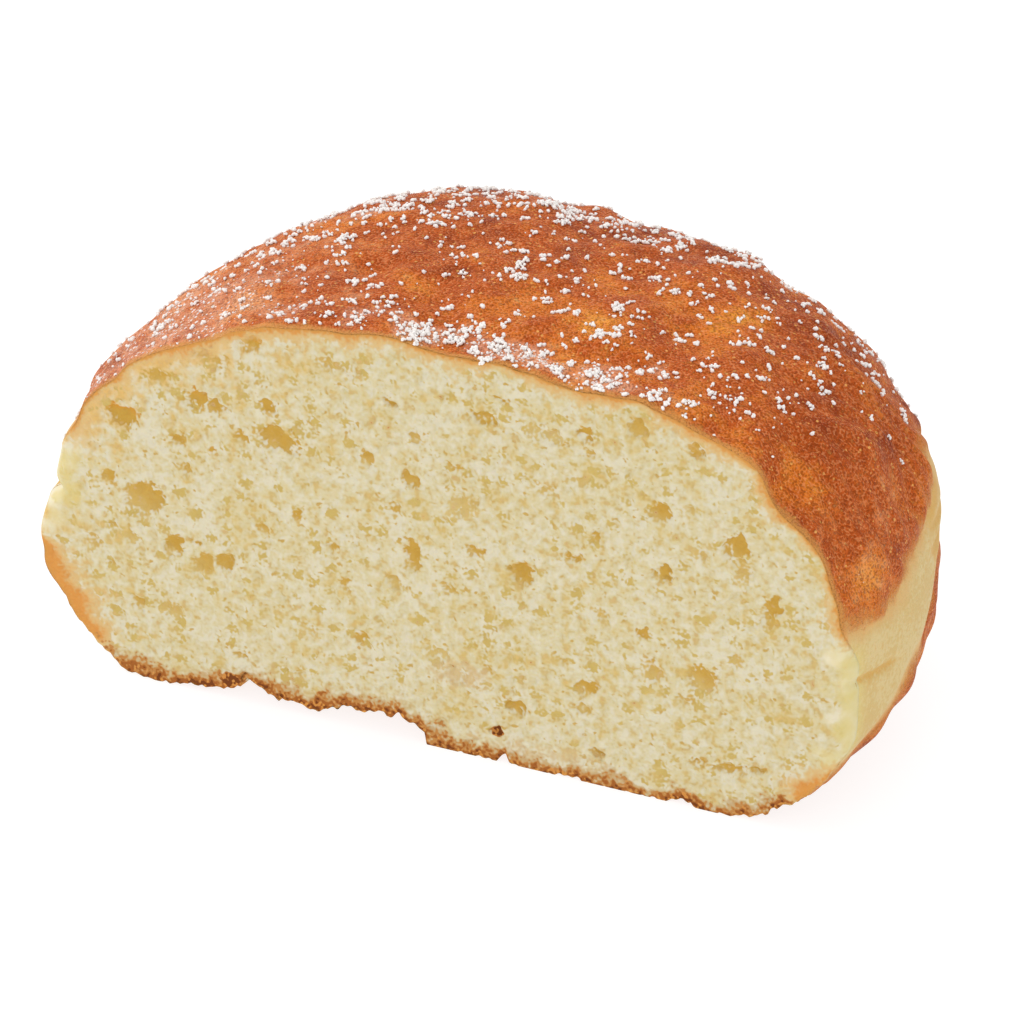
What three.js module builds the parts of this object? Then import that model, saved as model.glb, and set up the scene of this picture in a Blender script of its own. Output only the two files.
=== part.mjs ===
// A round yeast doughnut cut open, standing on its underside. Millimetres, +Z up.
// The cut face looks toward -Y and X runs to the right of someone looking at it.
// The doughnut is built around its heart, the point on its upright axis at its widest level,
// and is then moved so that its box stands centred on the origin.

import * as THREE from 'three';
import { mergeVertices } from 'three/addons/utils/BufferGeometryUtils.js';

// The whole doughnut, before it was cut.
const RADIUS = 44; // half its width across at the widest level
const LEAN = -0.12; // share of the radius by which the right side is shorter and the left side longer
const SQUASH = 0.98; // its front to back width as a share of its width
const CROWN = 31; // height of the crown over the widest level
const CROWN_POWER = 2.66; // 2 would be a true oval, higher values fill out the shoulder
const KEEL = 16.5; // depth below the widest level to which the underside would round off
const KEEL_POWER = 2.7; // the same for the side below the widest level
const SOLE = 14.35; // depth of the flat it stands on, below the widest level

// The knife went down in front of the axis, so a little more than half is left.
const CUT_AHEAD = 12.2; // distance from the axis forward to the cut face

// Broad swells and slacks of the risen dough, seen from the heart:
// compass angle from +X toward +Y, angle upward, spread, share of the radius added.
const SWELLS = [
  [-12, 35, 22, 0.035],
  [25, 10, 24, 0.04],
  [-20, -14, 18, 0.016],
  [120, 50, 24, 0.032],
  [-160, 62, 20, 0.027],
  [-165, 35, 22, -0.016],
  [-160, -14, 18, 0.03],
  [70, 45, 22, -0.028],
];

// Hollows where the underside lifts off the table: x, y, half width, half length, height.
const HOLLOWS = [
  [-13, -12.2, 11.5, 25, 2.3],
  [-27.5, -12.2, 13, 25, 1.4],
];

// The larger open cells of the crumb, as dishes in the cut face: x, z, half width, half height, depth.
const CELLS = [
  [-39.4, 16.2, 2.4, 1.9, 1.5],
  [-37.4, 6.8, 2.5, 3, 2.2],
  [-32.5, 1.8, 3, 1.8, 1.5],
  [-22.4, 17.4, 3.4, 1.8, 1.1],
  [-12.9, 17, 2.5, 2.1, 1.4],
  [-7.9, 7.7, 1.7, 3, 1.6],
  [-7.9, 16, 2.1, 2.2, 1.4],
  [-2.3, -4.8, 4.4, 3, 0.9],
  [-0.4, 24.6, 2.6, 1.9, 1.6],
  [3.9, 8.1, 2.1, 2.1, 1.9],
  [11, -3.4, 2.3, 1.9, 1.2],
  [19.1, 11.7, 1.9, 2, 1.5],
  [26.4, 15.9, 2.1, 3.6, 1.7],
  [30.3, 9.7, 1.9, 3.4, 1.7],
];

// Facets across the cut face, up it, and from its rim toward the back.
const ACROSS = 44;
const UP = 30;
const BACKWARD = 10;

// The back is closed by a patch of facets; this is its size as a share of the way to the rim,
// and how far its four corners are rounded, from 0 for square to 1 for a circle.
const PATCH = 0.52;
const PATCH_ROUNDING = 0.8;

// The middle of the cut face, from which its facets spread.
const FACE_X = -4;
const FACE_Z = 6;

const TURN = Math.PI / 180;

// The unit vector at a compass angle and an angle upward, in degrees.
function compass(azimuth, elevation) {
  const level = Math.cos(elevation * TURN);
  const x = Math.cos(azimuth * TURN) * level;
  const y = Math.sin(azimuth * TURN) * level;
  return new THREE.Vector3(x, y, Math.sin(elevation * TURN));
}

// How far the crust is from the heart in a direction: a rounded-off oval with the swells laid on it.
function reach(direction) {
  const level = Math.hypot(direction.x, direction.y / SQUASH) + 1e-9;
  const radius = RADIUS * (1 + (LEAN * direction.x) / level);
  const above = direction.z > 0;
  const height = above ? CROWN : KEEL;
  const power = above ? CROWN_POWER : KEEL_POWER;
  const sides = Math.pow(level / radius, power);
  const ends = Math.pow(Math.abs(direction.z) / height, power);
  let share = 1;
  for (const [azimuth, elevation, spread, added] of SWELLS) {
    const apart = 1 - direction.dot(compass(azimuth, elevation));
    share += added * Math.exp(-apart / (spread * TURN) ** 2);
  }
  return share * Math.pow(sides + ends, -1 / power);
}

// The direction that leans away from straight back by one angle, and is turned around it by another.
function lean(away, around) {
  const side = Math.sin(away);
  return new THREE.Vector3(side * Math.cos(around), Math.cos(away), side * Math.sin(around));
}

// The angle away from straight back at which the crust meets the cut, found by halving.
function rimAngle(around) {
  let inside = Math.PI / 2;
  let beyond = Math.PI * 0.98;
  for (let step = 0; step < 40; step += 1) {
    const middle = (inside + beyond) / 2;
    const ahead = -reach(lean(middle, around)) * Math.cos(middle);
    if (ahead > CUT_AHEAD) {
      beyond = middle;
    } else {
      inside = middle;
    }
  }
  return (inside + beyond) / 2;
}

// Flattens the underside on the table and lifts it in its hollows.
function settle(point) {
  point.z = Math.max(point.z, -SOLE);
  const low = Math.min(1, Math.max(0, -point.z / SOLE));
  for (const [x, y, width, length, height] of HOLLOWS) {
    const apart = ((point.x - x) / width) ** 2 + ((point.y - y) / length) ** 2;
    point.z += low * height * Math.max(0, 1 - apart) ** 2;
  }
  return point;
}

// A point of the crust: share 0 is the middle of its back, share 1 the rim of the cut.
function crust(share, around) {
  const direction = lean(share * rimAngle(around), around);
  return settle(direction.multiplyScalar(reach(direction)));
}

// A point of the cut face: share 0 is its middle, share 1 its rim. The open cells sink into it,
// less and less over the last tenth of the way to the rim.
function face(share, around) {
  const rim = crust(1, around);
  const x = FACE_X + (rim.x - FACE_X) * share;
  const z = FACE_Z + (rim.z - FACE_Z) * share;
  let sunk = 0;
  for (const [cellX, cellZ, width, height, depth] of CELLS) {
    const apart = ((x - cellX) / width) ** 2 + ((z - cellZ) / height) ** 2;
    sunk = Math.max(sunk, depth * (1 - apart));
  }
  const open = Math.min(1, 10 * (1 - share));
  return new THREE.Vector3(x, -CUT_AHEAD + sunk * open, z);
}

// Draws a square from -1 to 1 together toward a disc, fully for a rounding of 1.
function toDisc(u, v, rounding) {
  const x = u * Math.sqrt(1 - (rounding * v * v) / 2);
  const z = v * Math.sqrt(1 - (rounding * u * u) / 2);
  return { share: Math.hypot(x, z), around: Math.atan2(z, x) };
}

// Where a point of the 2 x 2 x 2 block goes. Its +Z side becomes the cut face, its -Z side the
// patch at the back, and its four other sides the crust from the patch to the rim.
function shape(u, v, w) {
  const spot = toDisc(u, v, 1);
  if (w === 1) {
    return face(Math.min(1, spot.share), spot.around);
  }
  const side = Math.max(Math.abs(u), Math.abs(v)) === 1;
  const toRim = side ? (w + 1) / 2 : 0;
  const patch = PATCH * toDisc(u, v, PATCH_ROUNDING).share;
  return crust(patch + (1 - patch) * toRim, spot.around);
}

function beignet() {
  const block = new THREE.BoxGeometry(2, 2, 2, ACROSS, UP, BACKWARD);
  block.deleteAttribute('normal');
  block.deleteAttribute('uv');
  const geometry = mergeVertices(block);
  const points = geometry.getAttribute('position');
  for (let i = 0; i < points.count; i += 1) {
    const point = shape(points.getX(i), points.getY(i), points.getZ(i));
    points.setXYZ(i, point.x, point.y, point.z);
  }
  geometry.computeBoundingBox();
  const box = geometry.boundingBox;
  const middle = box.getCenter(new THREE.Vector3());
  geometry.translate(-middle.x, -middle.y, -box.min.z);
  geometry.computeVertexNormals();
  const dough = new THREE.MeshStandardMaterial({ color: 0xc98a4b, roughness: 0.75 });
  const mesh = new THREE.Mesh(geometry, dough);
  mesh.name = 'beignet';
  return mesh;
}

const part = new THREE.Group();
part.name = 'cut_beignet';
part.add(beignet());

export default part;
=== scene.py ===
"""A yeast beignet cut open, dusted with icing sugar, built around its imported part.

Shapes are worked out in millimetres around the doughnut's heart, the point on its upright axis
at its widest level: X to the right of someone looking at the cut face, Y away from them, Z up.
"""

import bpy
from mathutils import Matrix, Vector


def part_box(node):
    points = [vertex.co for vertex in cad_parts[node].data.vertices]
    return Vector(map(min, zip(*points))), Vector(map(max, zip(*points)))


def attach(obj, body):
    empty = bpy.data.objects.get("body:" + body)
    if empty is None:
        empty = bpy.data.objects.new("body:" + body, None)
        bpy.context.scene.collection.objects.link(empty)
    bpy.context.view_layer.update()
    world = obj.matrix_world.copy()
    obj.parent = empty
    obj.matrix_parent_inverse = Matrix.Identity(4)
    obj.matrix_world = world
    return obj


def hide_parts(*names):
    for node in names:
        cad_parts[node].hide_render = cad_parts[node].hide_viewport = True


bl_info = {
    "name": "Sugared Beignet",
    "version": (1, 0, 0),
    "blender": (4, 5, 0),
    "location": "3D View > Sidebar > Beignet",
    "description": "Builds the crust, crumb and icing sugar of a yeast beignet that was cut open",
    "category": "Add Mesh",
}

import math

import bpy
import numpy as np
from mathutils import Vector

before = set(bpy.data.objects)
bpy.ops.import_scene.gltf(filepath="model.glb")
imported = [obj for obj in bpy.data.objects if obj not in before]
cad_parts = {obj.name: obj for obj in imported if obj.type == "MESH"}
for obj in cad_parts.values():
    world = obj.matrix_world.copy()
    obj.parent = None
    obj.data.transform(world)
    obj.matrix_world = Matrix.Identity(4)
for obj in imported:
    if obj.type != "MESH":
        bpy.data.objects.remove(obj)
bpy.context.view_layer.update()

BODY = "root"
NODE = "beignet"
MM = 0.001

# ---------------------------------------------------------------- the doughnut, in millimetres

RADIUS = 44.0  # half its width at the widest level, before it was cut
LEAN = -0.12  # share of the radius by which the right side is shorter and the left side longer
SQUASH = 0.98  # its front to back width as a share of its width
CROWN = 31.0  # height of the crown over the widest level
CROWN_POWER = 2.66  # 2 would be a true oval, higher values fill out the shoulder
KEEL = 16.5  # depth below the widest level to which the underside would round off
KEEL_POWER = 2.7
SOLE = 14.35  # depth of the flat it stands on
CUT_AHEAD = 12.2  # distance from the axis forward to the cut face
ROUNDING = 2.2  # how far to both sides of the corner the cut's edge is soft in the pale ring
FACE_MIDDLE = (-4.0, 6.0)  # X and Z of the middle of the cut face
TOOTH_STEP = 0.12  # half width of the steep step between two teeth of the torn rim
CELL_SHARE = 0.35  # share of a bubble's depth that the cut leaves open
CRUST_BACK = 4.05  # how far behind its edge the crust's hidden back wall stands
CREASE_FULL = 0.35  # depth at which a crease of the ring is golden through and through

# Broad swells and slacks: compass angle, angle upward, spread in degrees, share of the radius.
SWELLS = (
    (-12, 35, 22, 0.035),
    (25, 10, 24, 0.04),
    (-20, -14, 18, 0.016),
    (120, 50, 24, 0.032),
    (-160, 62, 20, 0.027),
    (-165, 35, 22, -0.016),
    (-160, -14, 18, 0.03),
    (70, 45, 22, -0.028),
)

# Hollows where the underside lifts off the table: X, Y, half width, half length, height.
HOLLOWS = (
    (-13, -12.2, 11.5, 25, 2.3),
    (-27.5, -12.2, 13, 25, 1.4),
)

# The pale ring: compass angle, height of its lower edge, height of its upper edge.
RING = (
    (-179, -2.2, 13.0),
    (-166, -2.0, 13.6),
    (-19, -8.4, 10.6),
    (-14, -7.0, 8.8),
    (-11, -5.9, 8.6),
    (-6, -4.7, 8.7),
    (-2, -3.7, 9.1),
    (3, -1.6, 10.5),
    (8, -1.0, 11.8),
    (12, 1.0, 12.6),
    (15, 4.6, 13.2),
    (20, 5.4, 15.0),
    (30, 3.0, 14.4),
    (42, -0.6, 11.5),
    (60, -1.8, 9.0),
    (88, -2.7, 10.1),
    (115, -1.9, 9.2),
    (140, -2.5, 10.4),
    (165, -2.0, 12.0),
)

# Creases pressed into the ring: from compass angle and height, to compass angle and height,
# depth, half width.
CREASES = (
    (-176, 6.2, -161, 5.2, 1.1, 0.8),
    (-21, 3.3, -3.0, 1.6, 0.3, 0.5),
    (12, 10.4, 34, 9.8, 0.35, 0.6),
    (12, 8.0, 34, 7.4, 0.45, 0.6),
    (28, 3.2, 74, 4.4, 0.5, 0.7),
    (66, 1.0, 112, 2.6, 0.35, 0.5),
    (106, 6.0, 158, 3.4, 0.55, 0.8),
    (150, 1.0, 176, 2.2, 0.35, 0.5),
)

# Lumps and dimples of the skin: compass angle, angle upward, spread in degrees, height.
LUMPS = (
    (30, 20, 8, 0.20),
    (18, 18, 4, 0.45),
    (56, 32, 6, -0.35),
    (71, 43, 6, 0.55),
    (97, 38, 7, -0.90),
    (49, 25, 5, 0.35),
    (165, 28, 5, -0.35),
    (-178, 27, 4, 0.30),
    (117, 38, 7, 0.65),
    (140, 35, 6, 0.25),
    (158, 38, 7, 0.45),
    (172, 26, 7, -0.30),
    (14, -4, 6, -0.50),
    (-180, 22, 7, -0.40),
    (-166, 1, 4, 1.20),
    (-165, 13, 4, 0.40),
    (-160, 33, 6, 0.45),
    (-165, -9, 4, -1.10),
    (-162, -15, 5, 1.00),
    (-22, -22, 5, 0.80),
    (-8, -13, 7, -0.50),
    (-153, 45, 7, 0.75),
    (-129, 63, 4, 0.50),
    (-103, 68, 4, -0.50),
    (-85, 68, 4, 0.45),
    (-29, 47, 6, 1.20),
    (-19, 28, 6, -0.60),
    (-18, 16, 4, 0.50),
    (-74, 50, 5, -0.35),
    (-20, 62, 6, -0.40),
    (18, 58, 6, -0.45),
    (62, 68, 7, -0.45),
    (-168, 55, 6, -0.45),
    (140, 66, 7, -0.40),
    (4, 40, 6, -0.35),
    (100, 60, 7, -0.40),
)

# Teeth of the torn bottom crust at the cut: X where the tooth begins and ends, going right, and
# how far the rim is drawn up at its beginning and at its end.
TEETH = (
    (-48.5, -46.6, 0.20, 0.50),
    (-46.6, -44.6, 0.45, 0.15),
    (-44.6, -43.0, 0.00, -0.70),
    (-43.0, -39.8, -0.60, -1.25),
    (-39.8, -37.4, -1.30, -1.30),
    (-37.4, -31.7, -1.25, -0.30),
    (-31.7, -28.5, -0.30, -0.15),
    (-28.5, -26.9, -0.15, 0.35),
    (-26.8, -26.2, 1.35, 1.50),
    (-26.2, -23.8, 1.50, 0.60),
    (-23.8, -22.7, 0.60, -0.10),
    (-22.6, -18.5, 0.40, -0.75),
    (-18.5, -14.9, -0.75, 0.45),
    (-14.9, -14.1, 0.45, 0.00),
    (-14.1, -11.0, 0.00, 0.80),
    (-10.9, -9.3, 0.40, 1.05),
    (-9.2, -6.5, 0.75, 0.40),
    (-6.5, -2.7, -1.00, 0.15),
    (-2.7, 1.1, 0.20, 0.30),
    (1.1, 2.4, 0.30, 1.00),
    (2.5, 5.0, 0.35, 0.00),
    (5.0, 10.4, 0.00, 0.40),
    (10.5, 13.4, 0.00, 0.00),
    (13.4, 19.8, 0.00, 0.25),
    (20.2, 22.4, 0.55, 0.80),
    (22.5, 24.6, 0.15, -0.30),
    (24.6, 25.9, -0.30, -0.45),
    (25.9, 30.3, -0.45, -0.75),
    (30.3, 31.1, -0.70, 0.10),
    (31.1, 36.5, 0.10, -0.20),
)

# The larger open cells of the crumb: X, Z, half width, half height, turn in degrees, depth of
# the whole bubble, and how far its lining has taken on the amber of light that comes through.
CELLS = (
    (-39.5, 16, 2, 1.4, -15, 1.2, 0.95),
    (-37.4, 6.9, 2.1, 2.4, -70, 1.5, 0.60),
    (-31.4, 19.9, 1.5, 1.2, 20, 1.2, 0.95),
    (-29.2, 19.4, 1, 1, 0, 0.8, 0.75),
    (-25.4, 27.7, 1.3, 1.2, -20, 1.2, 0.95),
    (-30.5, 25.4, 1.3, 0.7, 0, 1, 0.95),
    (-23.4, 20.8, 1, 0.9, 0, 0.9, 0.90),
    (-35.4, 21.5, 1.5, 1, 15, 0.5, 0.45),
    (-22.4, 17.2, 2.6, 1.6, -8, 1.1, 0.75),
    (-26.2, 16.4, 0.9, 1.1, 20, 0.7, 0.75),
    (-33.4, 14.7, 0.9, 0.9, 30, 0.8, 0.80),
    (-29.6, 14.4, 0.5, 0.6, 0, 0.7, 1.00),
    (-32.4, 11.4, 1, 0.7, 0, 0.7, 0.60),
    (-41.3, 8.6, 1, 0.9, 0, 0.7, 0.75),
    (-28.8, 24.5, 1.4, 0.8, 10, 0.5, 0.45),
    (-34.2, 2.2, 1.5, 1.2, 50, 1.2, 0.85),
    (-31, 0.6, 1.2, 1.9, -30, 0.9, 0.60),
    (-28.5, 1.6, 1.2, 1.3, 0, 1.1, 0.85),
    (-31.7, 3.2, 0.5, 0.5, 0, 0.7, 1.00),
    (-24, 6.4, 1, 0.8, -20, 0.8, 0.65),
    (-43.2, 0.6, 1, 1, 0, 0.5, 0.45),
    (-38.9, 2.2, 1, 1, 0, 0.5, 0.45),
    (-38.5, -5.4, 1, 0.8, -30, 0.7, 0.65),
    (-34.6, -5.6, 1.3, 1.2, 40, 0.6, 0.40),
    (-20.4, 9, 0.8, 0.6, 0, 0.6, 0.75),
    (-10.1, 24.2, 1, 0.6, -25, 1.2, 1.00),
    (-7.4, 20.8, 0.7, 0.8, 0, 0.5, 0.50),
    (-16.2, 26.8, 2.4, 0.7, -12, 0.6, 0.45),
    (1.9, 27.3, 1, 0.5, -10, 0.8, 0.90),
    (-0.3, 24.8, 1.6, 0.7, -4, 1.2, 0.85),
    (6.2, 24.5, 2.7, 0.9, -8, 0.7, 0.35),
    (8.7, 23.9, 0.5, 0.3, -30, 0.7, 1.00),
    (10.7, 25.4, 0.9, 1, 0, 1.1, 0.95),
    (11.2, 23.4, 0.9, 0.6, 10, 0.6, 0.55),
    (16.1, 27.3, 1.1, 1.3, -30, 1, 0.65),
    (22.1, 26.4, 0.8, 1, 30, 0.9, 0.95),
    (-12.6, 17.2, 1.1, 1, 40, 0.9, 0.65),
    (-7.9, 16, 1, 1, 10, 1, 0.75),
    (-3.2, 18.4, 0.9, 0.6, -20, 0.7, 0.80),
    (-2.3, 14.3, 1.8, 1.4, 30, 0.5, 0.35),
    (-9.8, 12, 0.6, 1, 0, 0.6, 0.60),
    (-7.8, 7.2, 1, 2.1, -5, 1.1, 0.85),
    (-9.7, 3.8, 1.2, 0.8, -20, 0.7, 0.50),
    (-4, 4.4, 1, 0.8, 0, 0.6, 0.55),
    (-0.9, 9.4, 1.4, 0.8, -10, 0.7, 0.70),
    (3.9, 8.1, 1.4, 1.4, 20, 1.5, 0.95),
    (9.3, 11.2, 1.4, 0.6, 20, 0.9, 0.75),
    (11.8, 14.2, 0.7, 1, 0, 0.8, 0.75),
    (6.4, 18.2, 1.5, 0.8, 0, 0.5, 0.45),
    (9.9, 20.2, 1.1, 0.8, 10, 0.5, 0.40),
    (18.5, 18.5, 1.5, 1.2, -10, 0.9, 0.75),
    (22, 19.6, 1, 0.7, 0, 0.5, 0.40),
    (19, 11.7, 1.2, 1.1, 0, 1.1, 0.85),
    (19.4, 11.6, 0.7, 0.6, 0, 1.6, 1.00),
    (26.6, 16.2, 1.3, 2.1, -12, 1.3, 0.80),
    (27.4, 13.4, 0.7, 1.6, -10, 0.6, 0.45),
    (30.3, 9.9, 1, 2.4, -14, 1.1, 0.80),
    (22.6, 14.8, 1, 0.8, 0, 0.5, 0.40),
    (16.8, 4.2, 0.7, 0.9, 0, 0.9, 0.90),
    (12.2, 5.4, 1.1, 0.7, 10, 0.5, 0.45),
    (11, -3.4, 1.6, 0.9, 20, 1.1, 0.80),
    (8.2, -1, 1, 0.6, 0, 0.5, 0.45),
    (10.3, -5.9, 1.4, 0.6, 10, 0.6, 0.50),
    (3.4, -7.6, 1.4, 1, 10, 1, 0.80),
    (17.9, 0.2, 1.2, 1.8, 0, 0.7, 0.50),
    (23.2, 0.6, 1.8, 1.6, -20, 1.1, 0.60),
    (21.3, -2.2, 1.1, 0.6, 0, 0.6, 0.50),
    (26.8, 3.4, 0.8, 1.1, 0, 0.5, 0.40),
    (-2.7, -5.4, 2.6, 1.1, -14, 0.7, 0.10),
    (-5.4, -3.4, 1.6, 1.1, 10, 0.6, 0.30),
    (0.6, -4, 1.1, 0.6, -20, 0.6, 0.60),
    (1.2, -10.9, 0.7, 0.5, 0, 1.2, 1.00),
    (12.3, -10.7, 1, 0.6, -10, 1.2, 0.95),
    (22.9, -9, 1.1, 0.4, 10, 0.8, 0.75),
    (26.2, -8.9, 2.1, 0.7, 4, 0.9, 0.70),
    (29.4, -8.4, 1.1, 0.5, 20, 1.1, 0.95),
    (-16.5, 6.2, 0.6, 0.5, 0, 0.8, 0.85),
    (-13.6, -3.6, 0.8, 0.7, 0, 0.6, 0.70),
    (-15.2, 2.2, 0.7, 0.9, 0, 0.7, 0.65),
    (-19, -3.8, 1.4, 0.6, 15, 0.5, 0.50),
    (-27.6, -8.9, 1.5, 0.5, 8, 0.5, 0.55),
    (-20.6, -9.4, 1.2, 0.5, 0, 0.5, 0.50),
)

# Teased-out threads of crumb along the lower lip of some cells: X, Z, half width.
THREADS = (
    (-22.4, 15.4, 3.4),
    (-29.4, 21.0, 1.6),
    (-27.6, 0.2, 1.8),
    (-6.5, 23.0, 1.2),
    (27.6, 18.4, 1.4),
)

# Dark pockets of the bottom crust at the cut: X, Z, half width.
POCKETS = ((-28.2, -12.2, 1.3), (1.3, -10.9, 0.8))
DAMP_SPOT = (-2.7, -5.2, 3.4, 1.7)  # damp place in the crumb: X, Z, half width, half height

# Patches of lighter and darker crust, partly browning and partly painted light and shade: compass
# angle, angle upward, spread in degrees, tone.
PATCHES = (
    (30, 57, 7, 0.8),
    (10, 64, 6, -0.15),
    (24, 48, 6, -0.05),
    (-156, 57, 7, -0.5),
    (177, 50, 8, -0.3),
    (-160, 70, 8, 0.35),
    (-168, 48, 6, 0.35),
    (154, 47, 7, 0.3),
    (-80, 78, 10, 0.55),
    (-43, 67, 7, 0.35),
    (107, 74, 8, -0.1),
    (98, 52, 9, -0.25),
    (58, 50, 9, -0.25),
    (-9, 71, 7, -0.05),
    (154, 65, 8, -0.45),
    (-110, 60, 9, 0.25),
    (-60, 62, 8, 0.2),
    (-2, 31, 9, -0.1),
    (16, 40, 10, -0.3),
    (-16, 36, 4, 0.45),
    (-11, 27, 4, 0.3),
    (-12, 17, 4, 0.35),
    (-6, 20, 4, -0.25),
    (6, 19, 6, 0.05),
    (-165, 35, 16, 0.25),
    (60, 40, 12, -0.25),
    (130, 35, 12, -0.3),
    (170, 45, 10, 0.2),
)

# Haze of fine sugar, and painted sheen of light on the slopes: compass angle, angle upward, spread in
# degrees, share.
HAZES_AND_SHEENS = ((-171, 34, 18, 1.15), (-8, 18, 12, 0.55), (-60, 74, 13, 0.4))

# Drifts of sugar seen from above: X, Y, half width, half length, share covered.
DRIFTS = (
    (6, -10.5, 12, 3.0, 0.17),
    (-8, -9.5, 8, 3.4, 0.17),
    (16, -6, 7, 5, 0.07),
    (-24, -7, 9, 6, 0.02),
    (-36, 2, 7, 9, 0.01),
    (-26, 17, 9, 7, 0.12),
    (-12, 25, 10, 5, 0.14),
    (12, 24, 10, 5, 0.09),
    (24, 12, 6, 6, 0.03),
    (5, 2, 4, 4, 0.06),
)



def compass(azimuth, elevation):
    """The unit vector at a compass angle from +X toward +Y and an angle upward, in degrees."""
    azimuth = np.radians(azimuth)
    elevation = np.radians(elevation)
    level = np.cos(elevation)
    return np.stack([np.cos(azimuth) * level, np.sin(azimuth) * level, np.sin(elevation)], -1)


def smooth(low, high, value):
    """0 below low, 1 above high, and t * t * (3 - 2 * t) in between."""
    t = np.clip((value - low) / (high - low), 0, 1)
    return t * t * (3 - 2 * t)


def unit(vectors):
    """The vectors divided by their lengths."""
    return vectors / (np.linalg.norm(vectors, axis=-1, keepdims=True) + 1e-12)


def waves(points, size, seed, count=20):
    """Soft random lumps about `size` across, of spread 1: the sum of sine waves that run in
    random directions with lengths of 1.6 to 2.8 times the size, over the root of half their
    number."""
    draw = np.random.default_rng(seed)
    ways = unit(draw.normal(size=(count, points.shape[-1])))
    lengths = size * draw.uniform(1.6, 2.8, count)
    starts = draw.uniform(0, 2 * np.pi, count)
    total = np.zeros(points.shape[:-1])
    for way, length, start in zip(ways, lengths, starts):
        total += np.sin(points @ (way * 2 * np.pi / length) + start)
    return total / math.sqrt(count / 2)


def add_spots(total, way, spots):
    """The total with soft round spots laid on it in turn, each height * exp(-(1 - cosine of the
    angle to the spot's middle) / spread^2)."""
    for azimuth, elevation, spread, height in spots:
        apart = 1 - way @ compass(azimuth, elevation)
        total = total + height * np.exp(-apart / math.radians(spread) ** 2)
    return total


def reach(way):
    """How far the crust is from the heart along unit vectors, a rounded-off oval with the
    swells laid on it: share * ((level / radius)^n + (|z| / height)^n)^(-1/n), where share is 1
    with the swells added."""
    level = np.hypot(way[..., 0], way[..., 1] / SQUASH) + 1e-9
    radius = RADIUS * (1 + LEAN * way[..., 0] / level)
    above = way[..., 2] > 0
    height = np.where(above, CROWN, KEEL)
    power = np.where(above, CROWN_POWER, KEEL_POWER)
    oval = ((level / radius) ** power + (np.abs(way[..., 2]) / height) ** power) ** (-1 / power)
    return add_spots(np.ones_like(level), way, SWELLS) * oval


def lean(away, around):
    """The unit vector that leans away from straight back by one angle, turned around it by
    another."""
    side = np.sin(away)
    return np.stack([side * np.cos(around), np.cos(away), side * np.sin(around)], -1)


def find_rim(around):
    """The angles away from straight back at which the crust meets the cut, found by halving."""
    inside = np.full(around.shape, np.pi / 2)
    beyond = np.full(around.shape, np.pi * 0.98)
    for _ in range(40):
        middle = (inside + beyond) / 2
        past = -reach(lean(middle, around)) * np.cos(middle) > CUT_AHEAD
        beyond = np.where(past, middle, beyond)
        inside = np.where(past, inside, middle)
    return (inside + beyond) / 2


RIM_AROUND = np.linspace(-np.pi, np.pi, 1441)
RIM_ANGLE = find_rim(RIM_AROUND)


def settle(points):
    """Flattens the underside on the table, z = max(z, -SOLE), and lifts it in its hollows by
    height * (1 - distance^2)^2, less and less up to the widest level."""
    x, y, z = points[..., 0], points[..., 1], np.maximum(points[..., 2], -SOLE)
    low = np.clip(-z / SOLE, 0, 1)
    for middle_x, middle_y, width, length, height in HOLLOWS:
        apart = ((x - middle_x) / width) ** 2 + ((y - middle_y) / length) ** 2
        z = z + low * height * np.maximum(0, 1 - apart) ** 2
    return np.stack([x, y, z], -1)


def azimuth_of(points):
    """Compass angles of points, in degrees."""
    return np.degrees(np.arctan2(points[..., 1], points[..., 0]))


def ring_depth(points):
    """How far inside the pale ring a place is, in mm, negative outside: the smaller of its
    height above the ring's lower edge and below its upper edge, both wavy by a few tenths."""
    table = np.array(sorted(RING))
    azimuth = azimuth_of(points)
    lower = np.interp(azimuth, table[:, 0], table[:, 1], period=360)
    upper = np.interp(azimuth, table[:, 0], table[:, 2], period=360)
    lower = lower + 0.35 * waves(points, 3.5, 11)
    upper = upper + 0.45 * waves(points, 4.0, 12) + 0.15 * waves(points, 1.2, 13)
    return np.minimum(points[..., 2] - lower, upper - points[..., 2])


def creases(points):
    """Depth of the ring's creases, in mm: depth * exp(-(height off the crease's line / half
    width)^2), fading out at the crease's two ends."""
    azimuth = azimuth_of(points)
    total = np.zeros(points.shape[:-1])
    for start, start_z, end, end_z, depth, width in CREASES:
        along = (azimuth - start) / (end - start)
        line = start_z + (end_z - start_z) * along + 0.25 * waves(points[..., :2], 5, 21)
        fade = smooth(-0.15, 0.2, along) * smooth(1.15, 0.8, along)
        total += depth * fade * np.exp(-(((points[..., 2] - line) / width) ** 2))
    return total


def dough_relief(points, way):
    """How far the crust stands out from the plain shape, in mm: broad and narrow lumps of the
    risen dough, dimples, upright wrinkles on the right shoulder, the plump ring with its
    creases, and a finer skin on the browned parts."""
    inside = ring_depth(points)
    browned = smooth(1.0, -1.0, inside)
    out = 0.18 * waves(points, 9, 31) + browned * (
        0.22 * waves(points, 4.2, 32) + 0.10 * waves(points, 1.9, 33)
    )
    azimuth = azimuth_of(points)
    up = np.degrees(np.arcsin(np.clip(way[..., 2], -1, 1)))
    out = add_spots(out, way, LUMPS)
    wrinkled = smooth(-22, -8, azimuth) * smooth(44, 26, azimuth)
    wrinkled = wrinkled * smooth(14, 24, up) * smooth(52, 38, up)
    bent = azimuth + 0.12 * up + 1.5 * waves(points, 7, 34)
    out += 0.16 * wrinkled * np.sin(bent * 2 * np.pi / 4.2)
    out -= 0.3 * np.exp(-((inside / 1.6) ** 2)) + creases(points)
    flat = smooth(-SOLE + 3.5, -SOLE + 0.5, points[..., 2])
    return out * (1 - 0.85 * flat)


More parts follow.
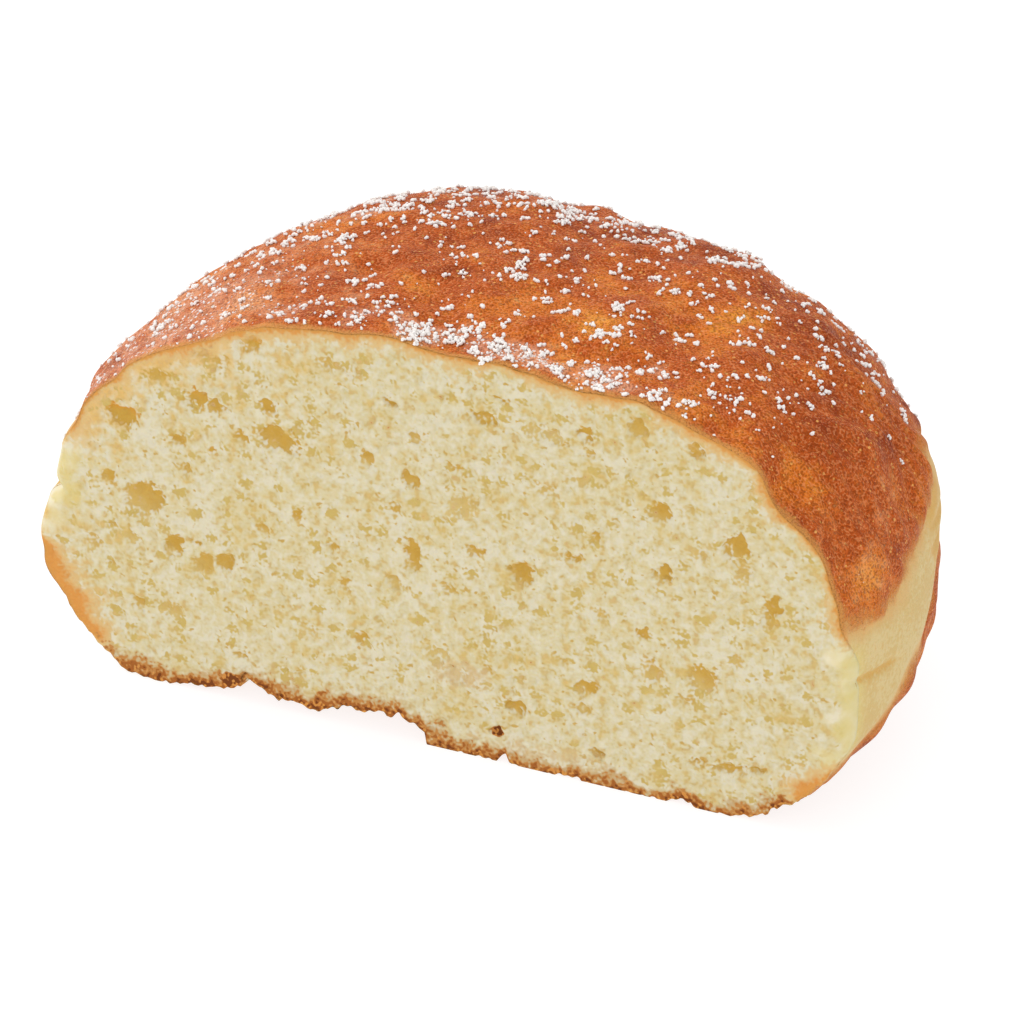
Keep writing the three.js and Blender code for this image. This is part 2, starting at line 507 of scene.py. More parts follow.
def torn_rim(x, z):
    """How far the torn bottom crust is drawn up at the cut, in mm, where its rim is at x and z:
    by straight slopes from tooth to tooth with a short steep step between two teeth, and by
    crumbs of a few tenths; nothing above the widest level."""
    start, end, first, last = np.array(TEETH).T
    stations = np.stack([start + TOOTH_STEP, end - TOOTH_STEP], 1).ravel()
    slope = np.interp(x, stations, np.stack([first, last], 1).ravel(), left=0, right=0)
    line = np.stack([x, z], -1)
    crumbs = 0.10 * waves(line, 0.5, 41) + 0.07 * waves(line, 0.9, 42)
    return smooth(-3.5, -8.5, z) * (slope + crumbs)


def find_setback():
    """How far short of the cut the crust stops, as an angle: by its rounding in the pale ring,
    whose soft edge belongs to the crumb, and not at all elsewhere."""
    way = lean(RIM_ANGLE, RIM_AROUND)
    rim = settle(way * reach(way)[..., None])
    pale = smooth(-0.5, 5.5, ring_depth(rim))
    return pale * ROUNDING / np.linalg.norm(rim, axis=-1)


CRUST_ANGLE = RIM_ANGLE - find_setback()


def crust_surface(share, around, torn=True, whole=False):
    """Points of the crust, from the middle of its back (share 0) to its edge (share 1), which is
    the rim of the cut if whole: the heart's reach in the leaning direction, settled on the
    table, then moved out by the relief and drawn in at the torn rim, fading over the last
    millimetres before the cut."""
    angle = np.interp(around, RIM_AROUND, RIM_ANGLE if whole else CRUST_ANGLE)
    way = lean(share * angle, around)
    points = settle(way * reach(way)[..., None])
    out = dough_relief(points, way)
    to_cut = np.maximum(points[..., 1] + CUT_AHEAD, 0)
    flat = way * np.stack([np.ones_like(out), smooth(0, 3, to_cut), np.ones_like(out)], -1)
    points = points + flat * out[..., None]
    if torn:
        points[..., 2] += torn_rim(points[..., 0], points[..., 2]) * smooth(2.6, 0.0, to_cut)
    points[..., 2] = np.maximum(points[..., 2], -SOLE)
    return points


def to_disc(u, v):
    """Draws a square from -1 to 1 together to a disc: x = u * sqrt(1 - v^2 / 2) and
    z = v * sqrt(1 - u^2 / 2), given as a share of the way to the edge and an angle."""
    x = u * np.sqrt(1 - v * v / 2)
    z = v * np.sqrt(1 - u * u / 2)
    return np.minimum(np.hypot(x, z), 1), np.arctan2(z, x)


# ---------------------------------------------------------------- meshes


def square_grid(across, up):
    """Values of u and v from -1 to 1 on a grid, one row for each v."""
    return np.meshgrid(np.linspace(-1, 1, across + 1), np.linspace(-1, 1, up + 1))


def grid_triangles(across, up, flip):
    """Two triangles for each square of a grid, split toward the grid's nearest corner so that
    none is squeezed flat there; flip turns them over."""
    i, j = np.meshgrid(np.arange(across), np.arange(up))
    a = j * (across + 1) + i
    b, c, d = a + 1, a + across + 2, a + across + 1
    rising = (i < across / 2) == (j < up / 2)
    first = np.where(rising[..., None], np.stack([a, b, c], -1), np.stack([a, b, d], -1))
    second = np.where(rising[..., None], np.stack([a, c, d], -1), np.stack([b, c, d], -1))
    faces = np.concatenate([first.reshape(-1, 3), second.reshape(-1, 3)])
    return faces[:, ::-1] if flip else faces


def border(across, up):
    """Numbers of the grid's border points in order: along the first row, up the right side,
    back along the last row and down the left side."""
    rows = np.arange((across + 1) * (up + 1)).reshape(up + 1, across + 1)
    return np.concatenate([rows[0, :-1], rows[:-1, -1], rows[-1, :0:-1], rows[:0:-1, 0]])


def close_behind(points, faces, edge, rings, pole, flip):
    """Carries the edge on through rings of as many points, and closes the last ring to a pole
    with a fan. Gives the points and faces of it all, and how many faces were added."""
    count = len(edge)
    loops = [edge]
    for ring in rings:
        loops.append(np.arange(count) + len(points))
        points = np.concatenate([points, ring])
    added = []
    for here, there in zip(loops, loops[1:]):
        a, b = here, np.roll(here, -1)
        c, d = np.roll(there, -1), there
        added += [np.stack([a, c, b], -1), np.stack([a, d, c], -1)]
    last = loops[-1]
    added.append(np.stack([last, np.full(count, len(points)), np.roll(last, -1)], -1))
    points = np.concatenate([points, pole[None]])
    added = np.concatenate(added)
    if flip:
        added = added[:, ::-1]
    return points, np.concatenate([faces, added]), len(added)


def drawn_in(outline, by):
    """The outline of the face, drawn in toward the face's middle by a few tenths of a mm."""
    pull = by / np.hypot(outline[:, 0] - FACE_MIDDLE[0], outline[:, 2] - FACE_MIDDLE[1])
    inner = outline.copy()
    inner[:, 0] -= (outline[:, 0] - FACE_MIDDLE[0]) * pull
    inner[:, 2] -= (outline[:, 2] - FACE_MIDDLE[1]) * pull
    return inner


def placed(points):
    """Millimetres around the heart to metres in the part's frame. The plain shape's box is laid
    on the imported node's box: middle on middle in X and Y, and lowest on lowest in Z."""
    return (points + HEART) * MM


def heart_place():
    """Where the heart stands in the part's frame, in mm."""
    u, v = square_grid(88, 60)
    share, around = to_disc(u, v)
    way = lean(share * np.interp(around, RIM_AROUND, RIM_ANGLE), around)
    plain = settle(way * reach(way)[..., None]).reshape(-1, 3)
    low, high = (np.array(corner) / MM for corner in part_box(NODE))
    middle = (low + high) / 2 - (plain.min(0) + plain.max(0)) / 2
    return np.array([middle[0], middle[1], low[2] - plain[:, 2].min()])


HEART = heart_place()


def add_mesh(name, points, faces, material, behind=0):
    """Makes the points and triangles a piece in the part's frame that rides on its body. It is
    smooth, except for its last faces, behind what shows, which would bend the shade at the rim."""
    mesh = bpy.data.meshes.new(name)
    mesh.from_pydata(placed(points), [], faces)
    mesh.validate()
    smooth_faces = np.arange(len(mesh.polygons)) < len(mesh.polygons) - behind
    mesh.polygons.foreach_set("use_smooth", smooth_faces)
    mesh.materials.append(material)
    piece = bpy.data.objects.new(name, mesh)
    bpy.context.scene.collection.objects.link(piece)
    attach(piece, BODY)
    return piece


def add_values(piece, values):
    """Stores a number for each point of the piece under each name, 0 for the points behind."""
    for name, numbers in values.items():
        filled = np.zeros(len(piece.data.vertices), np.float32)
        filled[: numbers.size] = numbers.ravel()
        attribute = piece.data.attributes.new(name, "FLOAT", "POINT")
        attribute.data.foreach_set("value", filled)


def add_map(piece, grid, behind):
    """Lays the piece out flat: the grid's triangles at the grid's own u and v in the upper part
    of the square, and the faces behind, one beside the other, along its foot."""
    foot = 0.03
    flat = np.stack([(grid[0].ravel() + 1) / 2, foot + (1 - foot) * (grid[1].ravel() + 1) / 2], -1)
    corners = np.empty(len(piece.data.loops), np.int32)
    piece.data.loops.foreach_get("vertex_index", corners)
    spots = np.zeros((len(corners), 2))
    shown = len(corners) - behind * 3
    spots[:shown] = flat[corners[:shown]]
    number = np.arange(behind)
    left = (number // 4) / (behind // 4 + 1)
    step = 1 / (behind // 4 + 1)
    low = (number % 4) * foot * 0.24
    sides = np.stack([left, left + step * 0.9, left], -1)
    levels = np.stack([low, low, low + foot * 0.2], -1)
    spots[shown:] = np.stack([sides, levels], -1).reshape(-1, 2)
    layer = piece.data.uv_layers.new(name="OFBake")
    layer.data.foreach_set("uv", spots.astype(np.float32).ravel())


# ---------------------------------------------------------------- materials


def linear(colour):
    """An sRGB hex colour as linear red, green and blue."""
    channels = np.array([int(colour[i : i + 2], 16) for i in (1, 3, 5)]) / 255
    low = channels / 12.92
    high = ((channels + 0.055) / 1.055) ** 2.4
    return tuple(float(c) for c in np.where(channels <= 0.04045, low, high))


def node(tree, kind, inputs=None, out=0, **settings):
    """Adds a node of a kind to the tree with its settings, fills its inputs, by name or number,
    with values, hex colours or other nodes' outputs, and gives one of its own outputs."""
    made = tree.nodes.new("ShaderNode" + kind)
    for name, value in settings.items():
        setattr(made, name, value)
    for key, value in (inputs or {}).items():
        socket = made.inputs[key]
        if isinstance(value, bpy.types.NodeSocket):
            tree.links.new(value, socket)
            continue
        if isinstance(value, str):
            value = linear(value)
        if socket.type == "RGBA" and len(value) == 3:
            value = (*value, 1)
        socket.default_value = value
    return made.outputs[out] if len(made.outputs) else made


def start_material(name, *stored):
    """A new material with an empty node tree, the piece's own space in it, and the numbers
    stored on the piece under some names."""
    material = bpy.data.materials.new(name)
    material.use_nodes = True
    tree = material.node_tree
    tree.nodes.clear()
    place = node(tree, "TexCoord", out="Object")
    values = [node(tree, "Attribute", out="Fac", attribute_name=number) for number in stored]
    return material, tree, place, values


def lumps(size):
    """The noise scale that gives lumps about size mm wide."""
    return 0.5 / (size * MM)


def ruffle(tree, value, *noises):
    """Adds noises to a value, each less its mean of a half, by its weight."""
    for noise, weight in noises:
        centred = node(tree, "Math", {0: noise, 1: 0.5}, operation="SUBTRACT")
        terms = {0: centred, 1: weight, 2: value}
        value = node(tree, "Math", terms, operation="MULTIPLY_ADD")
    return value


def paint(tree, under, over, value, low, high, most=1.0):
    """Lays a colour over another where the value goes smoothly from low to high."""
    span = {0: value, 1: low, 2: high, 3: 0.0, 4: most}
    share = node(tree, "MapRange", span, interpolation_type="SMOOTHSTEP")
    return node(tree, "Mix", {0: share, 6: under, 7: over}, out=2, data_type="RGBA")


def strewn(tree, place, spacing, share, largest):
    """Small round spots strewn at random: how far inside the nearest one a place is, as a share
    of the spacing in mm, negative outside. Only a share of them is there, and few are large."""
    scale = {"Vector": place, "Scale": 1 / (spacing * MM)}
    away = node(tree, "TexVoronoi", scale, out="Distance")
    dice = node(tree, "SeparateColor", {0: away.node.outputs["Color"]})
    sizes = {0: dice, 1: 1 - share, 2: 1.0, 3: 0.0, 4: largest}
    return node(tree, "Math", {0: node(tree, "MapRange", sizes), 1: away}, operation="SUBTRACT")


def crust_material(looks):
    """Fried yeast dough: its skin browns where it lay in the oil, unevenly and with fine
    blisters, and stays cream in the ring that floated above it. Thin, matte, faintly oily.
    Some light and shade is painted into its colour: lighter specks and blisters as painted
    highlights, darker fine pores as painted shade, a painted sheen on its slopes, and part of
    its patchy tone. Blisters and single grains of sugar are drawn twice as coarse as they are,
    to show."""
    names = ("ring", "tone", "under", "dust_and_sheen", "lit", "crease", "glow")
    material, tree, place, values = start_material("fried_dough_crust", *names)
    ring, tone, under, dust_and_sheen, lit, crease, glow = values
    broad = node(tree, "TexNoise", {"Vector": place, "Scale": lumps(2.2), "Detail": 3.0})
    mottle = node(tree, "TexNoise", {"Vector": place, "Scale": lumps(0.7), "Detail": 2.0})
    speck = node(tree, "TexNoise", {"Vector": place, "Scale": lumps(0.22), "Detail": 1.0})
    pinprick = node(tree, "TexNoise", {"Vector": place, "Scale": lumps(0.12), "Detail": 0.0})

    browned = ruffle(tree, tone, (broad, 2.0), (mottle, 1.3), (speck, 0.5), (pinprick, 0.4))
    colour = paint(tree, looks.dark, looks.brown, browned, -0.9, -0.15)
    colour = paint(tree, colour, looks.orange, browned, -0.1, 0.45)
    colour = paint(tree, colour, looks.golden, browned, 0.4, 1.1)
    colour = paint(tree, colour, looks.sole, under, 0.0, 1.0, 0.75)
    # Tiny blisters, whose light colour is also a painted highlight on them.
    blisters = strewn(tree, place, 0.5, 0.55, 0.4)
    colour = paint(tree, colour, looks.blister_highlight, blisters, 0.0, 0.12, 0.8)
    # Melted sugar, and a pinkish painted sheen of light on the slopes.
    melted = ruffle(tree, dust_and_sheen, (broad, 1.5), (mottle, 1.6), (speck, 1.1), (pinprick, 0.6))
    colour = paint(tree, colour, looks.melted, melted, -0.1, 0.9, 0.7)
    # Painted shade: darker specks stand for the shade in the crust's fine pores.
    pores = ruffle(tree, 0.0, (speck, 1.0), (pinprick, 1.3))
    colour = paint(tree, colour, looks.pore_shade, pores, 0.03, 0.28, 0.56)
    # Painted highlights: light specks in the fine grain stand for the shine of the oily crust.
    painted_glints = ruffle(tree, 0.0, (speck, -1.0), (pinprick, -1.3))
    colour = paint(tree, colour, looks.painted_glint, painted_glints, 0.03, 0.28, 0.38)
    # Single grains of sugar, thicker where the sugar and the painted sheen are.
    grains = strewn(tree, place, 0.42, 0.6, 0.4)
    terms = {0: ruffle(tree, dust_and_sheen, (broad, 1.0)), 1: 0.7, 2: grains}
    grains = node(tree, "Math", terms, operation="MULTIPLY_ADD")
    colour = paint(tree, colour, looks.powder, grains, 0.24, 0.38, 0.85)

    edge = ruffle(tree, ring, (mottle, 1.6), (speck, 0.8))
    colour = paint(tree, colour, looks.edge, edge, -2.6, -0.4)
    colour = paint(tree, colour, looks.ring_amber, edge, -1.0, 0.8)
    clouded = ruffle(tree, 0.0, (broad, 1.0), (speck, 1.0))
    cloud = paint(tree, looks.ring, looks.ring_deep, clouded, -0.15, 0.15)
    colour = paint(tree, colour, cloud, edge, 0.1, 2.6)
    lit_through = ruffle(tree, lit, (mottle, 0.8), (speck, 0.8))
    colour = paint(tree, colour, looks.cut_edge, lit_through, 0.1, 1.0, 0.9)
    colour = paint(tree, colour, looks.glow, glow, 0.0, 1.0, 0.8)
    golden = ruffle(tree, crease, (mottle, 0.8), (speck, 0.8))
    colour = paint(tree, colour, looks.ring_crease, golden, 0.1, 0.9, 0.85)

    skin = ruffle(tree, 0.0, (mottle, 0.5), (speck, 0.6), (pinprick, 0.7))
    pale = {0: edge, 1: -0.6, 2: 0.8, 3: 1.0, 4: 0.25}
    strength = node(tree, "MapRange", pale, interpolation_type="SMOOTHSTEP")
    bump = node(tree, "Bump", {"Height": skin, "Distance": 0.45 * MM, "Strength": strength})
    inputs = {
        "Base Color": colour,
        "Roughness": 0.55,
        "IOR": 1.45,
        "Specular IOR Level": 0.12,
        "Subsurface Weight": 0.1,
        "Subsurface Radius": (1.0, 0.45, 0.2),
        "Subsurface Scale": 1.0 * MM,
        "Normal": bump,
    }
    node(tree, "OutputMaterial", {"Surface": node(tree, "BsdfPrincipled", inputs)})
    return material


def crumb_material(looks):
    """Soft yeast crumb, torn by the knife: cream walls of dough around bubbles whose linings
    look golden, because the light in them has come through the dough. Matte and translucent."""
    names = ("cell", "gold", "rind", "crisp", "tan", "smoothed", "lemon", "moist", "warmth")
    material, tree, place, values = start_material("yeast_crumb", *names)
    cell, gold, rind, crisp, tan, smoothed, lemon, moist, warmth = values
    broad = node(tree, "TexNoise", {"Vector": place, "Scale": lumps(1.5), "Detail": 1.0})
    flake = node(tree, "TexNoise", {"Vector": place, "Scale": lumps(0.5), "Detail": 1.0})
    fine = node(tree, "TexNoise", {"Vector": place, "Scale": lumps(0.18), "Detail": 0.0})
    wobble = {0: flake.node.outputs["Color"], 1: (0.7 * MM, 0.7 * MM, 0.9 * MM), 2: place}
    shaken = node(tree, "VectorMath", wobble, operation="MULTIPLY_ADD")
    lying = node(tree, "VectorMath", {0: shaken, 1: (0.85, 1.0, 1.2)}, operation="MULTIPLY")
    closed = node(tree, "Math", {0: smoothed, 1: -0.6}, operation="MULTIPLY")

    grain = ruffle(tree, 0.0, (broad, 1.0), (flake, 1.5), (fine, 0.6))
    colour = paint(tree, looks.crest, looks.wall, grain, -0.35, 0.07)
    colour = paint(tree, colour, looks.hollow, grain, 0.05, 0.5)
    warmed = ruffle(tree, warmth, (broad, 1.0), (flake, 1.2))
    colour = paint(tree, colour, looks.warm, warmed, 0.0, 1.0, 0.9)
    medium = strewn(tree, lying, 1.6, 0.7, 0.5)
    small = strewn(tree, lying, 0.9, 0.4, 0.36)
    for bubbles, colour_in, softness in ((medium, looks.shallow, 0.2), (small, looks.speck, 0.24)):
        deep = ruffle(tree, bubbles, (fine, 0.8))
        deep = node(tree, "Math", {0: deep, 1: closed})
        colour = paint(tree, colour, colour_in, deep, -0.08, softness)
    # Linings by gold: amber of light through the dough, deeper at the tops of cells as painted shade
    # under the lip.
    golden = paint(tree, looks.lining, looks.deep, gold, 0.1, 0.65)
    golden = paint(tree, golden, looks.lit_deep, gold, 0.85, 1.2)
    open_here = ruffle(tree, cell, (flake, 0.5), (fine, 0.5))
    open_here = node(tree, "Math", {0: open_here, 1: closed})
    colour = paint(tree, colour, golden, open_here, -0.04, 0.2)
    damp = ruffle(tree, moist, (flake, 2.0), (fine, 1.0))
    colour = paint(tree, colour, looks.moist, damp, 0.3, 1.1, 0.6)
    colour = paint(tree, colour, looks.tan, ruffle(tree, tan, (flake, 1.0), (fine, 0.8)), 0.05, 1.0)
    colour = paint(tree, colour, looks.ring, smoothed, 0.0, 1.0, 0.9)
    tinted = ruffle(tree, lemon, (broad, 0.9), (flake, 0.4))
    colour = paint(tree, colour, looks.lemon, tinted, 0.0, 1.0, 0.9)
    # Painted light: the amber band beside the upper crust is a glow of light through its cut edge, and
    # the rim colour at the edge is the crust itself.
    toasted = ruffle(tree, rind, (flake, 0.7), (fine, 0.5))
    colour = paint(tree, colour, looks.amber, toasted, 0.0, 0.55)
    colour = paint(tree, colour, looks.rim, toasted, 0.45, 1.0)
    brown = ruffle(tree, crisp, (broad, 1.0), (flake, 2.0), (fine, 1.6))
    colour = paint(tree, colour, looks.rim_low, brown, 0.2, 0.5)
    colour = paint(tree, colour, looks.rim_brown, brown, 0.65, 0.9)
    # Painted highlights: golden bright bits on the crumbs of the bottom crust.
    painted_highlights = ruffle(tree, brown, (fine, -5.0))
    colour = paint(tree, colour, looks.rim_gold_highlight, painted_highlights, 1.5, 1.7, 0.8)
    colour = paint(tree, colour, looks.rim_dark, brown, 1.15, 1.4)

    height = ruffle(tree, 0.0, (flake, -0.8), (fine, -0.9))
    flat = {0: smoothed, 1: 0.0, 2: 1.0, 3: 0.5, 4: 0.06}
    strength = node(tree, "MapRange", flat)
    bump = node(tree, "Bump", {"Height": height, "Distance": 0.35 * MM, "Strength": strength})
    inputs = {
        "Base Color": colour,
        "Roughness": 0.8,
        "IOR": 1.4,
        "Specular IOR Level": 0.1,
        "Subsurface Weight": 0.2,
        "Subsurface Radius": (1.0, 0.7, 0.3),
        "Subsurface Scale": 1.0 * MM,
        "Normal": bump,
    }
    node(tree, "OutputMaterial", {"Surface": node(tree, "BsdfPrincipled", inputs)})
    return material


def sugar_material(looks):
    """Icing sugar, milled fine and caked into crumbs by the damp of the crust: pure white, with
    no gloss, and faintly grey in fine spots of painted shade."""
    material, tree, place, _ = start_material("icing_sugar")
    powder = node(tree, "TexNoise", {"Vector": place, "Scale": lumps(0.12), "Detail": 1.0})
    # Painted shade: fine noise greys the sugar a little.
    colour = paint(tree, looks.sugar_shade, looks.sugar, powder, 0.35, 0.6)
    bump = node(tree, "Bump", {"Height": powder, "Distance": 0.05 * MM, "Strength": 0.5})
    inputs = {
        "Base Color": colour,
        "Roughness": 0.9,
        "IOR": 1.5,
        "Specular IOR Level": 0.2,
        "Normal": bump,
    }
    node(tree, "OutputMaterial", {"Surface": node(tree, "BsdfPrincipled", inputs)})
    return material


def floor_material(looks):
    """A matt white acrylic table, lit softly from below."""
    material, tree, _, _ = start_material("light_table")
    inputs = {
        "Base Color": looks.floor,
        "Roughness": 0.7,
        "Emission Color": "#FFFFFF",
        "Emission Strength": 0.82,
    }
    node(tree, "OutputMaterial", {"Surface": node(tree, "BsdfPrincipled", inputs)})
    return material


# ---------------------------------------------------------------- settings


def colour_property(name, description, hex_colour):
    """A colour that the user can change."""
    return bpy.props.FloatVectorProperty(
        name=name,
        description=description,
        subtype="COLOR",
        size=3,
        min=0,
        max=1,
        default=linear(hex_colour),
    )


class BeignetCrustSettings(bpy.types.PropertyGroup):
    """Sizes and colours of the crust."""

    across: bpy.props.IntProperty(
        name="Facets Across", description="Squares of the grid from left to right", default=340, min=20
    )
    up: bpy.props.IntProperty(
        name="Facets Up", description="Squares of the grid from bottom to top", default=264, min=20
    )
    dark: colour_property("Dark", "Most browned crust", "#8E3410")
    brown: colour_property("Brown", "Browned crust", "#BC561A")
    orange: colour_property("Orange", "Lightly browned crust", "#D67222")
    golden: colour_property("Golden", "Least browned crust", "#EC9A32")
    sole: colour_property("Underside", "Crust of the underside", "#A9693A")
    # Colour of the tiny blisters, lightened as painted highlights.
    blister_highlight: colour_property("Blister", "Tiny blisters", "#E8AC5C")
    # Colour of the painted shade in the crust's fine pores.
    pore_shade: colour_property("Pores", "Fine pores of the crust", "#863806")
    # Colour of the painted highlights in the crust's fine grain.
    painted_glint: colour_property("Glints", "Fine grain of the crust that catches light", "#F09E68")
    # Stands for melted sugar and for the painted sheen of light on the slopes.
    melted: colour_property("Melted Sugar", "Crust that sugar has melted into", "#E0A488")
    powder: colour_property("Powder", "Single grains of sugar", "#F0E6E2")
    edge: colour_property("Ring Edge", "Crust that fades toward the ring", "#CC7F3C")
    ring_amber: colour_property("Ring Amber", "Border of the pale ring", "#D3A869")
    ring: colour_property("Ring", "Pale ring", "#D3BC86")
    ring_deep: colour_property("Deep Ring", "Deeper spots of the pale ring", "#CEB174")
    ring_crease: colour_property("Crease", "Creases of the pale ring", "#D0A458")
    glow: colour_property("Glow", "Pale ring beside the cut, lit through", "#D8C680")
    cut_edge: colour_property("Cut Edge", "Crust at the cut, lit through", "#D0904C")


class BeignetCrumbSettings(bpy.types.PropertyGroup):
    """Sizes and colours of the crumb."""

    across: bpy.props.IntProperty(
        name="Facets Across", description="Squares of the grid from left to right", default=392, min=20
    )
    up: bpy.props.IntProperty(
        name="Facets Up", description="Squares of the grid from bottom to top", default=232, min=20
    )
    thickness: bpy.props.FloatProperty(
        name="Thickness",
        description="Thickness of the layer of crumb behind the cut face",
        default=4 * MM,
        min=2.5 * MM,
        subtype="DISTANCE",
        unit="LENGTH",
    )
    crest: colour_property("Crest", "Torn crests of the crumb", "#D4CBB0")
    wall: colour_property("Wall", "Walls of the crumb", "#CEC199")
    hollow: colour_property("Hollow", "Hollows between the walls", "#C2AE72")
    shallow: colour_property("Shallow Cells", "Linings of shallow cells", "#C2A862")
    speck: colour_property("Small Cells", "Linings of the smallest cells", "#BF9E58")
    lining: colour_property("Lining", "Linings of open cells, where light falls in", "#CAB274")
    deep: colour_property("Deep Lining", "Linings of deep cells", "#C09844")
    # Deepest linings, under the lip of a cell: painted light through the dough and painted shade.
    lit_deep: colour_property("Lit Lining", "Linings under the lip, lit through", "#CA8E36")
    tan: colour_property("Tan", "Crumb pressed together above the bottom crust", "#BE9E6E")
    moist: colour_property("Moist", "Damp crumb above the bottom crust", "#CAB08A")
    warm: colour_property("Warm", "Crumb below thin crust, lit through", "#DAAC60")
    ring: colour_property("Ring", "Crumb that turns into the pale ring", "#E2D8BA")
    lemon: colour_property("Lemon", "Crumb beside the pale ring, lit through", "#D1C080")
    # Colour of the painted amber glow of light through the crust's cut edge.
    amber: colour_property("Amber", "Crumb next to the crust", "#D2B078")
    rim: colour_property("Rim", "Cut edge of the upper crust", "#D1914A")
    rim_low: colour_property("Lower Rim", "Cut edge of the bottom crust", "#B98247")
    # Colour of the painted highlights on the bottom crust's crumbs.
    rim_gold_highlight: colour_property("Golden Rim", "Glossy crumbs of the bottom crust", "#CF8E46")
    rim_brown: colour_property("Brown Rim", "Browned crumbs of the bottom crust", "#A0602C")
    rim_dark: colour_property("Dark Rim", "Darkest crumbs of the bottom crust", "#75401E")


class BeignetSugarSettings(bpy.types.PropertyGroup):
    """Amount, size and colours of the icing sugar."""

    clumps: bpy.props.IntProperty(
        name="Clumps", description="Number of clumps on the crust", default=2160, min=10
    )
    grain: bpy.props.FloatProperty(
        name="Grain",
        description="Radius of a middling crumb of sugar",
        default=0.2 * MM,
        min=0.05 * MM,
        subtype="DISTANCE",
        unit="LENGTH",
    )
    sugar: colour_property("Sugar", "Icing sugar", "#F5F1EC")
    # Colour of the painted shade on the sugar.
    sugar_shade: colour_property("Sugar Shade", "Duller grains of icing sugar", "#E9E5E4")


class BeignetStageSettings(bpy.types.PropertyGroup):
    """The floor, the light and the camera."""

    azimuth: bpy.props.FloatProperty(
        name="Azimuth",
        description="Turn of the camera to the right of the cut face",
        default=math.radians(23.7),
        subtype="ANGLE",
        unit="ROTATION",
    )
    elevation: bpy.props.FloatProperty(
        name="Elevation",
        description="Height angle of the camera",
        default=math.radians(30.5),
        subtype="ANGLE",
        unit="ROTATION",
    )
    distance: bpy.props.FloatProperty(
        name="Distance",
        description="Distance from the camera to the beignet",
        default=0.67,
        subtype="DISTANCE",
        unit="LENGTH",
    )
    lens: bpy.props.FloatProperty(
        name="Lens", description="Focal length of the camera in mm", default=240.9
    )
    floor: colour_property("Floor", "White acrylic", "#8C8C8C")


# ---------------------------------------------------------------- pieces


class BEIGNET_OT_crust(bpy.types.Operator):
    """Builds the fried skin of the dough with its pale ring"""

    bl_idname = "beignet.crust"
    bl_label = "Crust"

    def execute(self, context):
        looks = context.scene.beignet_crust
        grid = square_grid(looks.across, looks.up)
        share, around = to_disc(*grid)
        points = crust_surface(share, around)
        way = unit(points)
        inside = ring_depth(points)
        behind_cut = points[..., 1] + CUT_AHEAD
        flat_points = points.reshape(-1, 3)
        edge = border(looks.across, looks.up)
        inner = drawn_in(flat_points[edge], 0.9)
        rings = [inner + (0, 0.95, 0), inner + (0, CRUST_BACK, 0)]
        pole = np.array([FACE_MIDDLE[0], CRUST_BACK - CUT_AHEAD, FACE_MIDDLE[1]])
        faces = grid_triangles(looks.across, looks.up, True)
        full, faces, behind = close_behind(flat_points, faces, edge, rings, pole, True)
        piece = add_mesh("beignet_crust", full, faces, crust_material(looks), behind)
        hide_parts(NODE)
        add_map(piece, grid, behind)
        values = {
            "ring": np.clip(inside, -4, 4),
            "tone": browning_and_light_tone(points, way),
            "under": smooth(-6, -11, points[..., 2]) * smooth(1, -1, inside),
            # Sugar, and the painted sheen of light on the slopes.
            "dust_and_sheen": smooth(0.03, 0.35, sugar_density(points)) + powder_and_painted_sheen(way) - 0.55,
            "lit": smooth(1.2 + 0.5 * np.maximum(way[..., 2], 0), 0.0, behind_cut),
            "crease": np.clip(creases(points) / CREASE_FULL + golden_ring(points), 0, 1),
            "glow": smooth(5.5, 0.5, behind_cut) * smooth(0.3, 4.0, inside),
        }
        add_values(piece, values)
        return {"FINISHED"}


def golden_ring(points):
    """How golden the ring is, from 0 to 1: more toward its upper edge at the far right."""
    azimuth = azimuth_of(points)
    behind = smooth(7, 15, azimuth) * smooth(50, 35, azimuth)
    return behind * (0.6 + 0.3 * waves(points, 1.5, 53)) * smooth(-0.5, 0.5, ring_depth(points))


def browning_and_light_tone(points, way):
    """How light the crust is painted, from about -1, darkest, to 1, golden: soft patches of
    two sizes for its browning, and the patches that stand out, which are partly browning and
    partly painted light and shade."""
    tone = 0.16 * waves(points, 8, 51) + 0.14 * waves(points, 3.6, 52) - 0.01
    return add_spots(tone, way, PATCHES)


def powder_and_painted_sheen(way):
    """Share of fine powder and of a painted sheen of light on the left slope, of a painted sheen
    on the right one, and of a thin haze over the crown."""
    return add_spots(0.0, way, HAZES_AND_SHEENS)


